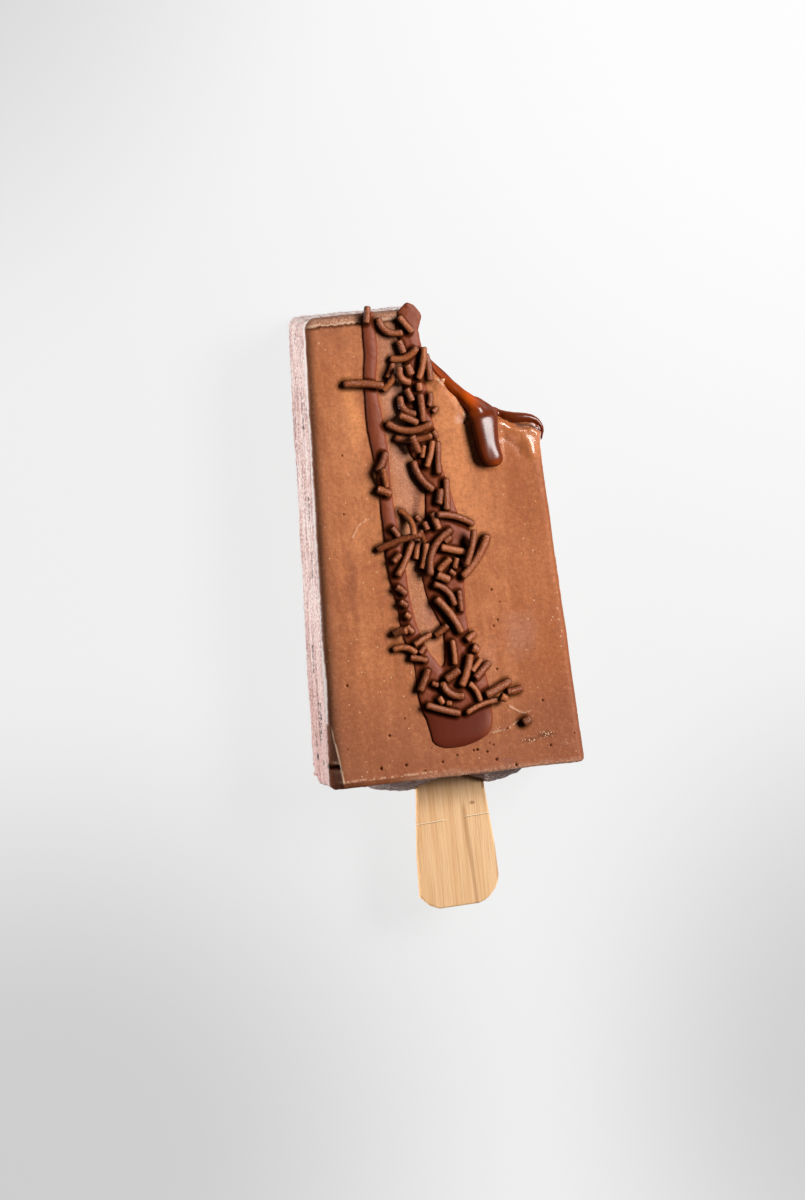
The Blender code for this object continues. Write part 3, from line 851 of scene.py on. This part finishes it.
def melted(spot):
    """How wet the melted corner of the bite is, how dark its crease is painted as shade, and how far it
    stands up.
    """
    if not (14 < spot.x < 27 and 62 < spot.y < 78 and spot.depth < 6):
        return 0.0, 0.0, 0.0
    rim = off_line(spot.x, spot.y, MELTED_RIM)
    crease = off_line(spot.x, spot.y, CREASE)
    streak = off_line(spot.x, spot.y, WET_STREAK)
    wetness = max(smooth(1.6, 0.4, rim), 0.65 * smooth(1.6, 0.5, streak),
                  0.25 * smooth(6.0, 2.0, rim)) * smooth(0.6, 0.85, spot.facing.z)
    beyond = spot.y - height_of(spot.x, MELTED_RIM)
    lift = 0.35 * smooth(1.2, 0.1, rim) * smooth(1.5, 0.3, spot.depth)
    lift += 0.14 * wobble(spot.co, 0.9, 4.0) * smooth(2.0, 0.6, rim)
    lift -= 0.8 * smooth(0.2, 1.5, beyond) * smooth(1.5, 0.3, spot.depth)
    lift -= 0.25 * smooth(0.7, 0.1, crease)
    lift += 0.4 * smooth(1.5, 0.1, streak)
    return wetness, 0.3 * smooth(0.45, 0.1, crease), lift


def creased(spot):
    """How pale the fine creases are, and how far they stand up."""
    paleness = lift = 0.0
    if spot.face and (spot.y < 16 and spot.x > 6 or 52 < spot.y < 58 and spot.x < -14):
        for line in CREASES:
            close = off_line(spot.x, spot.y, line) + 0.4 * spot.jag
            broken = smooth(-0.15, 0.1, wobble(spot.co, 0.5, 6.0))
            paleness = max(paleness, 0.4 * smooth(0.28, 0.05, close) * broken)
            lift += 0.1 * smooth(0.35, 0.05, close)
    return paleness, lift


def unevenness(spot, lip):
    """How far the frost's grain and ridges and the bitten surface stand out."""
    grain = 0.16 * wobble(spot.co, 1.2) + 0.1 * wobble(spot.co, 0.55, 3.0)
    bands = Vector((spot.co.x, spot.co.y / 9, spot.co.z))
    ridges = 0.3 * wobble(bands, 1.6, 9.0)
    easy = 0.16 * wobble(spot.co, 11.0, 7.0) - 0.15 * spot.tip_line
    rough = max(spot.wall, 0.4 * spot.tip) * (grain + ridges) + 0.6 * lip * grain
    bitten = 1 - max(spot.wall, spot.face, spot.tip)
    bitten *= smooth(0.7, 0.4, spot.facing.z) * (spot.y > 60) * (not spot.outer)
    return easy + rough + bitten * (0.35 * wobble(spot.co, 2.2, 6.0) + grain)


def ice_cream(neighbours):
    solid = merged_copy("ice_cream")
    tongue = strand_on_face(solid, TONGUE, 12)
    bmesh.ops.recalc_face_normals(solid, faces=solid.faces)
    bm = remeshed(solid, ICE_CREAM_GRAIN)
    soften(bm, 1)
    frost, rime, dark, wet, pale = layers(bm, "frost", "rime", "dark", "wet", "pale")
    dents = marks()
    bm.verts.index_update()
    refine(bm, [dent[0] for dent in dents], 1.1)
    drawn = [place for line in (*CREASES, CHIP_RIM, BITE_EDGE) for place in line_places(line)]
    drawn += [point(0.4 * k, TIP_BAND + 0.2, face_height(TIP_BAND)) for k in range(-58, -20)]
    drawn += [point(0.4 * k, 1.4, face_height(1.4)) for k in range(-63, -5)]
    refine(bm, drawn, 0.8)
    lower_past_bite(bm)
    beside = close_on(bm, neighbours, tongue[1:])
    moves = []
    for vert in bm.verts:
        spot = Spot(vert)
        x, y, depth, facing, jag = spot.x, spot.y, spot.depth, spot.facing, spot.jag
        wall, face = spot.wall, spot.face
        inside, rim, slot, slot_rim = chip_shares(spot)
        lip_rime, lip_shade, lip_edge, lip_frost = lip_shares(spot)
        wetness, crease_shade, lift = melted(spot)
        pale_crease, crease_lift = creased(spot)
        tip_lip = smooth(BAR_LENGTH - 0.9, BAR_LENGTH - 0.2, y + 0.5 * jag)
        tip_edge = smooth(0.3, 0.1, abs(y + jag - TIP_BAND - 0.5)) * face * (wall < 0.1)
        shade = smooth(2.1 + 1.2 * smooth(45.0, 5.0, y), 0.2, spot.left + 0.5 * jag)
        shade *= smooth(0.1, 0.5, facing.z) * (1 - wall)
        # painted shade on the rounded right edge, which faces the key light
        right = smooth(0.2, 0.7, facing.x) * (x > 20) * (1 - wall) * smooth(70.0, 62.0, y)
        bright = smooth(1.5, 0.6, abs(depth - EDGE_BAND - 1.1)) * wall * (spot.side == spot.left)
        # painted shade and less frost on the wall at the stick end, in the shadow of the lip
        end_wall_shade = smooth(0.6, 0.0, y) * smooth(1.0, 2.0, depth)
        grainy = smooth(-9.5, -7.5, x) * smooth(-1.0, -4.0, x) * smooth(24.0, 32.0, y) * face
        vert[frost] = max((wall + 0.5 * bright) * (1 - inside) * (1 - 0.4 * end_wall_shade), lip_frost)
        vert[rime] = max(0.8 * spot.tip, 0.6 * lip_rime, 0.2 * shade, 0.28 * grainy)
        darkness = max(0.52 * shade * (1 - rim), 0.42 * inside, 0.5 * end_wall_shade * wall,
                       0.7 * spot.tip_line, 0.3 * right, 0.4 * tip_lip * (1 - wall), lip_shade)
        vert[dark] = max(darkness * (1 - slot_rim), slot, crease_shade)
        vert[pale] = max(bite_edging(spot), 0.8 * rim, 0.3 * slot_rim, 0.5 * tip_edge,
                         lip_edge, pale_crease)
        vert[wet] = wetness
        held = smooth(0.1, 0.9, beside.get(vert, 9.0))
        out = unevenness(spot, lip_rime) * held + lift + crease_lift
        bulge = -SWELL_MORE * smooth(-0.2, -1.0, y) * smooth(4.0, 9.0, x)
        moves.append(MM * (facing * out + Vector((0.0, bulge, 0.0))))
    for vert, move in zip(bm.verts, moves):
        vert.co += move
    bm.normal_update()
    press(bm, dents, dark)
    for vert in bm.verts:
        vert.co.z = max(vert.co.z, 0.0)
    return piece("ice_cream_bar", bm, ice_cream_finish(), "ice_cream")


# ---------------------------------------------------------------- the caramel and the drizzle

AMBER_GLOW = (10.2, 80.3)    # painted glow where the light shows through the caramel
# a weaker painted glow at the foot of the drop
AMBER_FOOT = (14.6, 65.9)
DROP_MIDDLE = 13.2           # the drop narrows towards this x as it runs down
CLOSE_GAP = 0.35             # the poured pieces touch the ice cream
RIBBON_KNOB = (-1.2, 101.5)  # the wide ribbon's top ends in a small knob


# Strands that the poured caramel is built up with: x, y, depth below the face, radius
RIM_STRAND = (
    (15.6, 77.4, 2.4, 0.8), (16.9, 76.5, 1.9, 0.8), (18.3, 75.7, 1.5, 1.1), (20.1, 75.1, 1.3, 1.25),
    (21.9, 75.0, 1.2, 1.1), (23.7, 74.7, 1.2, 0.9), (24.8, 74.0, 1.2, 0.75), (25.6, 73.0, 1.2, 0.6),
    (25.9, 71.8, 1.3, 0.5), (25.6, 70.7, 1.4, 0.4), (25.3, 69.9, 1.5, 0.25),
)
FLOW_STRAND = (
    (2.6, 87.8, 1.4, 0.6), (4.1, 86.2, 1.35, 0.85), (5.5, 84.8, 1.3, 1.1), (6.9, 83.0, 1.2, 1.4),
    (8.4, 81.5, 1.2, 1.45), (9.9, 79.8, 1.1, 1.85), (11.9, 77.6, 0.9, 2.2), (12.6, 75.6, 0.7, 2.2),
    (12.8, 74.0, 0.9, 1.8),
)
DROP_HEIGHT = 2.6


def caramel():
    solid = merged_copy("caramel_filling")
    for rows in (RIM_STRAND, FLOW_STRAND):
        strand_on_face(solid, rows, 16)
    bmesh.ops.recalc_face_normals(solid, faces=solid.faces)
    bm = remeshed(solid, CARAMEL_GRAIN)
    soften(bm, 6)
    bm.normal_update()
    glow_through, shine, edge = layers(bm, "glow_through", "shine", "edge")
    for vert in bm.verts:
        x, y, z = on_bar(vert.co)
        depth = face_height(y) - z
        upward = smooth(0.35, 0.8, vert.normal.z)
        glow = near(x, 0.8 * y, (AMBER_GLOW[0], 0.8 * AMBER_GLOW[1]), 3.6)
        wall = (1 - upward) * smooth(17.0, 8.0, depth) * smooth(90.0, 80.0, y)
        foot = 0.45 * near(x, y, AMBER_FOOT, 1.8)
        band = smooth(78.0, 81.0, y)
        # painted glow of light through the caramel: at the neck, on the bite wall, at the foot and
        # along the band
        vert[glow_through] = min(max(glow, 0.25 * wall, foot, 0.38 * band * smooth(3.5, 1.5, depth)), 1.0)
        vert[shine] = max(upward * (1 - 0.8 * band), 0.06, 0.9 * smooth(5.0, 7.0, depth))
        if depth < 0.4:
            # painted shade on the flanks of the drop that turn away from the light
            vert[edge] = smooth(0.8, 0.2, vert.normal.z) * (1 - band)
            height = max(-depth, 0.0) / DROP_HEIGHT
            tilt = 0.22 + 0.16 * smooth(68.0, 74.0, y)
            full = (1 - max(1 - height, 0.0) ** 1.5) * (1.02 + tilt * (0.5 - smooth(9.4, 16.4, x)))
            vert.co.z += DROP_HEIGHT * MM * (full - height) * (x < 17)
            if 8 < x < DROP_MIDDLE and y < 80:
                vert.co.x += 0.22 * (DROP_MIDDLE - x) * smooth(79.0, 69.0, y) * MM
    return piece("caramel", bm, caramel_finish(), "caramel_filling")


def drizzle():
    bm = remeshed(merged_copy("chocolate_drizzle"), DRIZZLE_GRAIN)
    soften(bm, 5)
    bm.normal_update()
    flank_shade, = layers(bm, "flank_shade")
    for vert in bm.verts:
        x, y, z = on_bar(vert.co)
        flow = Vector((vert.co.x, vert.co.y / 3, vert.co.z))
        lift = 0.2 * wobble(flow, 2.4) + 0.06 * wobble(vert.co, 0.8, 2.0)
        lift += 0.4 * near(x, y, RIBBON_KNOB, 0.9)
        # painted shade on the flanks that turn away from the key light, most on the left
        vert[flank_shade] = smooth(0.8, 0.25, vert.normal.z) * (1.0 if vert.normal.x < 0 else 0.3)
        vert.co += vert.normal * MM * lift * smooth(11.0, 17.0, y)
        high = z - face_height(y) - CLOSE_GAP
        thin = 0.62 + 0.28 * smooth(-5.5, -7.5, x) * smooth(24.0, 30.0, y)
        vert.co.z += (thin * high - high - CLOSE_GAP - 0.1) * MM
        if -8 < x < 0.5:
            window = smooth(69.0, 76.0, y) * smooth(97.0, 92.0, y)
            vert.co.x += 0.36 * window * (0.5 - x) * MM
    return piece("drizzle", bm, drizzle_finish(), "chocolate_drizzle")


# ---------------------------------------------------------------- the sprinkles

# Each sprinkle: its two ends, how far it bows out to the left of the way from the first end
# to the second, and its thickness.  Lower ones come first, because the next lie on them.
SPRINKLES = (
    # near the tip
    (-10.2, 102.2, -10.9, 98.6, 0, 1.3),
    (-8.2, 99.5, -3.2, 95.9, -1.5, 1.4),
    (-3.7, 99.3, -1.2, 95.7, 0, 1.3),
    (-4.2, 94.3, -3.4, 91.4, 0, 1.4),
    (-5.9, 89.6, -7.5, 86.4, 0.2, 1.3),
    (-6.4, 90.6, -0.7, 92.5, -1.1, 1.4),
    (-3.2, 89.1, -2.5, 86.7, 0, 1.7),
    (-5.8, 87.2, -8.6, 84.0, 0.2, 1.3),
    (-4.9, 88.8, -2.7, 85.1, -1.1, 1.4),
    (1.3, 90.8, 1.7, 85.0, 0.2, 1.4),
    (0.8, 92.4, -1.0, 85.6, 0.4, 1.4),
    (-17.1, 86.2, -8.6, 85.0, 0.3, 1.5),
    (-1.1, 84.9, -0.9, 83.1, 0, 1.5),
    (-3.7, 83.9, -2.7, 81.1, 0, 1.3),
    (-5.0, 82.4, -2.2, 78.3, -1.3, 1.4),
    (1.3, 82.4, 0.7, 79.6, 0.35, 1.3),
    (2.7, 79.2, 1.6, 78.2, 0, 1.2),
    (-1.1, 82.6, -0.9, 76.5, 0.1, 1.4),
    (-6.0, 78.4, -2.1, 76.3, 0.15, 1.4),
    (-7.1, 73.7, 0.6, 73.6, -0.8, 1.4),
    (-8.7, 77.1, 0.8, 76.1, -1.7, 1.5),
    (-4.0, 73.9, -2.5, 70.1, 0, 1.5),
    (-1.1, 71.5, -1.8, 68.8, 0, 1.1),
    (1.2, 74.4, 1.9, 72.8, 0, 1.2),
    (2.0, 72.0, 1.3, 65.0, 0, 1.4),
    (0.8, 72.3, -1.1, 66.7, 0.2, 1.3),
    (-9.6, 71.0, -11.7, 66.9, 0.2, 1.4),
    (-10.8, 67.6, -10.1, 63.4, 0, 1.3),
    (-12.2, 63.2, -9.4, 61.7, 0.15, 1.6),
    (-3.7, 68.4, 0, 61.7, -0.8, 1.4),
    # the middle
    (3.0, 63.9, 2.4, 57.1, 0, 1.4),
    (1.3, 61.9, 0.7, 58.6, 0.2, 1.4),
    (-0.8, 56.9, 0.2, 53.2, 0, 1.6),
    (-0.2, 56.5, 8.0, 53.4, 0.7, 1.4),
    (-2.7, 55.1, -2.2, 53.3, 0, 1.2),
    (-4.3, 56.6, -3.4, 55.4, 0, 1.1),
    (-10.0, 54.8, -8.6, 52.4, 0.1, 1.2),
    (-2.8, 50.6, -4.3, 45.2, 0.2, 1.3),
    (-4.3, 51.3, -5.3, 47.3, 0, 1.3),
    (-5.5, 51.7, -9.9, 44.3, 0.3, 1.4),
    (-13.4, 50.2, -4.0, 52.7, 0.4, 1.4),
    (-7.8, 58.1, -5.8, 52.6, 1.1, 1.3),
    (-4.4, 53.5, -3.2, 51.0, 0, 1.2),
    (-10.5, 47.4, -8.7, 48.9, 0, 1.4),
    (1.1, 50.4, 2.6, 51.4, 0, 1.3),
    (2.0, 46.9, -0.9, 44.4, 0, 1.5),
    (3.5, 46.8, 2.8, 44.5, 0, 1.2),
    (4.7, 46.7, 5.4, 44.8, 0, 1.3),
    (1.6, 44.3, 2.8, 43.2, 0, 1.1),
    (0.0, 49.5, 6.5, 47.6, -0.1, 1.5),
    (6.0, 50.3, 6.8, 48.4, 0, 1.2),
    (10.8, 51.0, 4.1, 42.5, 0.8, 1.6),
    (7.5, 52.5, 4.9, 45.0, 0.35, 1.3),
    (3.0, 53.0, -2.7, 43.6, -1.9, 1.4),
    (-1.3, 43.7, 1.4, 42.2, 0, 1.6),
    # between the heaps
    (-2.2, 41.7, 2.0, 36.6, 1.1, 1.4),
    (3.3, 39.8, 3.4, 35.2, 0, 1.1),
    (-2.0, 38.7, 2.9, 30.6, 0.5, 1.6),
    (-10.3, 42.1, -8.3, 40.2, 0.1, 1.3),
    (-9.8, 38.9, -8.3, 37.6, 0, 1.4),
    (-9.0, 36.1, -7.9, 35.1, 0, 1.3),
    (-8.9, 33.4, -7.6, 31.8, 0, 1.2),
    (-11.6, 32.0, -9.0, 32.6, 0.2, 1.6),
    (-12.2, 28.6, -7.3, 27.3, 0.9, 1.3),
    (-6.7, 27.2, -5.2, 28.7, 0, 1.2),
    (-7.7, 29.2, -3.6, 31.1, 0, 1.3),
    (-2.7, 30.5, 0.1, 32.6, 0, 1.3),
    (3.7, 28.9, 6.0, 30.3, 0, 1.5),
    (0.65, 29.4, 0.75, 24.0, 0.15, 1.2),
    # the heap on the pool
    (-8.7, 26.6, -5.1, 25.5, 0.1, 1.3),
    (-4.6, 20.7, -3.2, 19.9, 0, 1.1),
    (-5.1, 23.8, -7.4, 19.2, 0.1, 1.4),
    (4.2, 22.2, 6.6, 24.6, 0, 1.2),
    (3.3, 19.8, 5.4, 15.6, 0.5, 1.2),
    (-3.5, 17.6, -2.7, 16.0, 0, 1.2),
    (-2.0, 16.1, -0.8, 15.8, 0, 1.2),
    (11.6, 17.0, 15.0, 17.4, -0.2, 1.5),
    (6.7, 16.7, 12.7, 19.2, 0, 1.6),
    (2.1, 13.4, 10.3, 15.4, 0.6, 1.1),
    (4.6, 20.6, 8.4, 23.7, 0, 1.5),
    (4.7, 27.4, 6.3, 26.5, 0, 2.0),
    (-1.7, 21.0, 1.5, 23.0, 0, 1.6),
    (-6.4, 16.2, 0.9, 13.5, -0.15, 1.4),
    (4.2, 26.0, 1.5, 19.3, 0.3, 1.6),
    (-2.5, 20.7, 2.0, 17.3, -1.2, 1.5),
    (9.9, 16.3, 11.3, 15.4, 0, 1.5),
    # one that rolled away
    (14.5, 9.8, 16.1, 10.7, 0, 1.8),
)
SPRINKLE_SIDES = 16
SPRINKLE_RINGS = 26
# the painted shadow of the sprinkles: the side it falls to from them, and how far it reaches
SHADE_SIDE = (0.4, 0.15, 0.2)
SHADE_REACH = 1.1
SUNK = 0.2               # how far a sprinkle sinks into the soft drizzle
LEAN = 0.25              # all lie this much farther right than marked
RAY_START = 60.0


def sprinkle_line(row):
    """The middle line of a sprinkle on the face, as places x, y at equal shares."""
    x0, y0, x1, y1, bow, _ = row
    length = math.hypot(x1 - x0, y1 - y0)
    left = ((y0 - y1) / length, (x1 - x0) / length)
    line = []
    for k in range(SPRINKLE_RINGS + 1):
        share = k / SPRINKLE_RINGS
        out = bow * (1 - (2 * share - 1) ** 2)
        line.append((x0 + LEAN + (x1 - x0) * share + out * left[0],
                     y0 + (y1 - y0) * share + out * left[1]))
    return line


def rest_heights(line, radius, grounds):
    """Heights at which a stiff sprinkle comes to rest on what lies below it."""
    needs = []
    for index, (x, y) in enumerate(line):
        high = -1.0
        for off_x, off_y in ((0, 0), (0.6, 0), (-0.6, 0), (0, 0.6), (0, -0.6)):
            start = point(x + off_x * radius, y + off_y * radius, RAY_START)
            share = math.hypot(off_x, off_y)
            for ground in grounds:
                hit = ground.ray_cast(start, Vector((0, 0, -1)))[0]
                if hit:
                    high = max(high, hit.z / MM + radius * math.sqrt(1 - share ** 2))
        needs.append((index / (len(line) - 1), high))
    hull = []
    for need in needs:
        while len(hull) > 1 and ((hull[-1][1] - hull[-2][1]) * (need[0] - hull[-2][0])
                                 <= (need[1] - hull[-2][1]) * (hull[-1][0] - hull[-2][0])):
            hull.pop()
        hull.append(need)
    for (s0, z0), (s1, z1) in zip(hull, hull[1:]):
        if s0 <= 0.5 <= s1:
            slope = (z1 - z0) / (s1 - s0)
            return [z0 + slope * (share - s0) for share, _ in needs]


def rod(bm, spine, radius, seed):
    """A lumpy rod with rounded ends along a line of points."""
    steps = len(spine) - 1
    length = sum((b - a).length for a, b in zip(spine, spine[1:]))
    cap = min(0.5 * radius / length * steps, 0.45 * steps)
    radii = []
    for k in range(steps + 1):
        end = min(k, steps - k)
        round_off = math.sqrt(max(1 - (1 - min(end / cap, 1.0)) ** 2, 0.0))
        radii.append(radius * (0.68 + 0.32 * round_off))

    def lump(out, spot):
        large = noise.noise(out * 1.5 + spot * 900 + Vector((seed, 0, 0)))
        fine = noise.noise(out * 3 + spot * 2200 + Vector((seed, 0, 9)))
        return 1 + 0.08 * large + 0.03 * fine

    strand(bm, spine, radii, SPRINKLE_SIDES, lump)


def paint_shadow_near(made, above):
    """Paints shadow, as the piece's gap layer, where it lies in the shade of the surface above it."""
    values = made.data.attributes.new("gap", "FLOAT", "POINT").data
    for vert, value in zip(made.data.vertices, values):
        spot, _, _, away = above.find_nearest(vert.co + Vector(SHADE_SIDE) * MM, SHADE_REACH * MM)
        value.value = smooth(SHADE_REACH, 0.3, away / MM) if spot else 0.0


def sprinkles(*grounds):
    chance = random.Random(4)
    surfaces = [surface_of(ground) for ground in grounds]
    whole = bmesh.new()
    tone, low = layers(whole, "tone", "low")
    mesh = bpy.data.meshes.new("one_sprinkle")
    for row in SPRINKLES:
        radius = row[-1] / 2 * chance.uniform(1.08, 1.2)
        line = sprinkle_line(row)
        heights = rest_heights(line, radius, surfaces)
        sink = max(SUNK, max(heights) + radius - TOP_LIMIT)
        spine = [point(x, y, z - sink) for (x, y), z in zip(line, heights)]
        one = bmesh.new()
        rod(one, spine, radius * MM, chance.uniform(0, 50))
        bmesh.ops.recalc_face_normals(one, faces=one.faces)
        surfaces.append(BVHTree.FromBMesh(one))
        one.to_mesh(mesh)
        one.free()
        before = len(whole.verts)
        whole.from_mesh(mesh)
        whole.verts.ensure_lookup_table()
        shade = chance.random()
        for vert in whole.verts[before:]:
            vert[tone] = shade
            vert[low] = 0.55 if row is SPRINKLES[-1] else 0.0
    bpy.data.meshes.remove(mesh)
    whole.normal_update()
    for vert in whole.verts:
        # the low layer: painted shade on each sprinkle's sides that turn down from the light
        vert[low] = max(vert[low], smooth(0.88, 0.3, vert.normal.z))
    made = piece("sprinkles", whole, sprinkle_finish())
    for ground in grounds:
        paint_shadow_near(ground, surface_of(made))
    return made


# ---------------------------------------------------------------- the stage

CAMERA_PLACE = (-283.5, 154.1, 1418.4)       # on the bar, in millimetres
CAMERA_TURN = (-4.629, -11.142, -5.479)      # degrees, about z first, then x, then y
CAMERA_LENS = 200.0
STAGE_SIZE = 6.0
FLOOR_GLOW = 0.9
FLOOR_SHADE = colour(72, 72, 72)
KEY_FROM = (0.66, 0.26, 0.76)
KEY_AWAY = 0.9                               # metres
KEY_SIZE = (0.5, 0.3)
KEY_POWER = 11.8
CARD_PLACE = (-430.0, 50.0, 10.5)            # a low gridded light beside the frosted left wall
CARD_SIZE = (0.17, 0.021)
CARD_SPREAD = 1.5                            # degrees
CARD_POWER = 0.0105
SKY = 0.03


def stage():
    floor = bmesh.new()
    bmesh.ops.create_grid(floor, x_segments=1, y_segments=1, size=STAGE_SIZE / 2)
    mesh = bpy.data.meshes.new("floor")
    floor.to_mesh(mesh)
    floor.free()
    mesh.materials.append(floor_finish())
    put("floor", mesh)


def lamp(name, place, aim, size, power, spread=180.0):
    """A soft light, of a width and a length, that shines from one place at another."""
    data = bpy.data.lights.new(name, "AREA")
    data.shape = "RECTANGLE"
    data.size, data.size_y = size
    data.energy = power
    data.spread = math.radians(spread)
    made = put(name, data)
    made.location = place
    made.rotation_euler = (Vector(place) - Vector(aim)).to_track_quat("Z", "Y").to_euler()
    made.visible_camera = False


def lights():
    lamp("key", Vector(KEY_FROM).normalized() * KEY_AWAY, (0, 0, 0), KEY_SIZE, KEY_POWER)
    x, y, z = CARD_PLACE
    lamp("low_card", point(x, y, z), point(0, y, z), CARD_SIZE, CARD_POWER, CARD_SPREAD)
    world = bpy.data.worlds.new("studio")
    world.use_nodes = True
    sky = world.node_tree.nodes["Background"]
    sky.inputs["Color"].default_value = (1.0, 1.0, 1.0, 1.0)
    sky.inputs["Strength"].default_value = SKY
    bpy.context.scene.world = world
    bpy.context.scene.view_settings.view_transform = "Standard"


def camera():
    data = bpy.data.cameras.new("camera")
    data.lens = CAMERA_LENS
    made = put("camera", data)
    made.location = point(*CAMERA_PLACE)
    turn = Euler([math.radians(angle) for angle in CAMERA_TURN], "ZXY")
    made.rotation_euler = turn.to_matrix().to_euler()
    bpy.context.scene.camera = made


camera()
lights()
stage()
poured_caramel = caramel()
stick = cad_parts["stick"]
bar = ice_cream([poured_caramel, stick])
poured = drizzle()
sprinkles(bar, poured)
stick.material_slots[0].material = birch_finish()
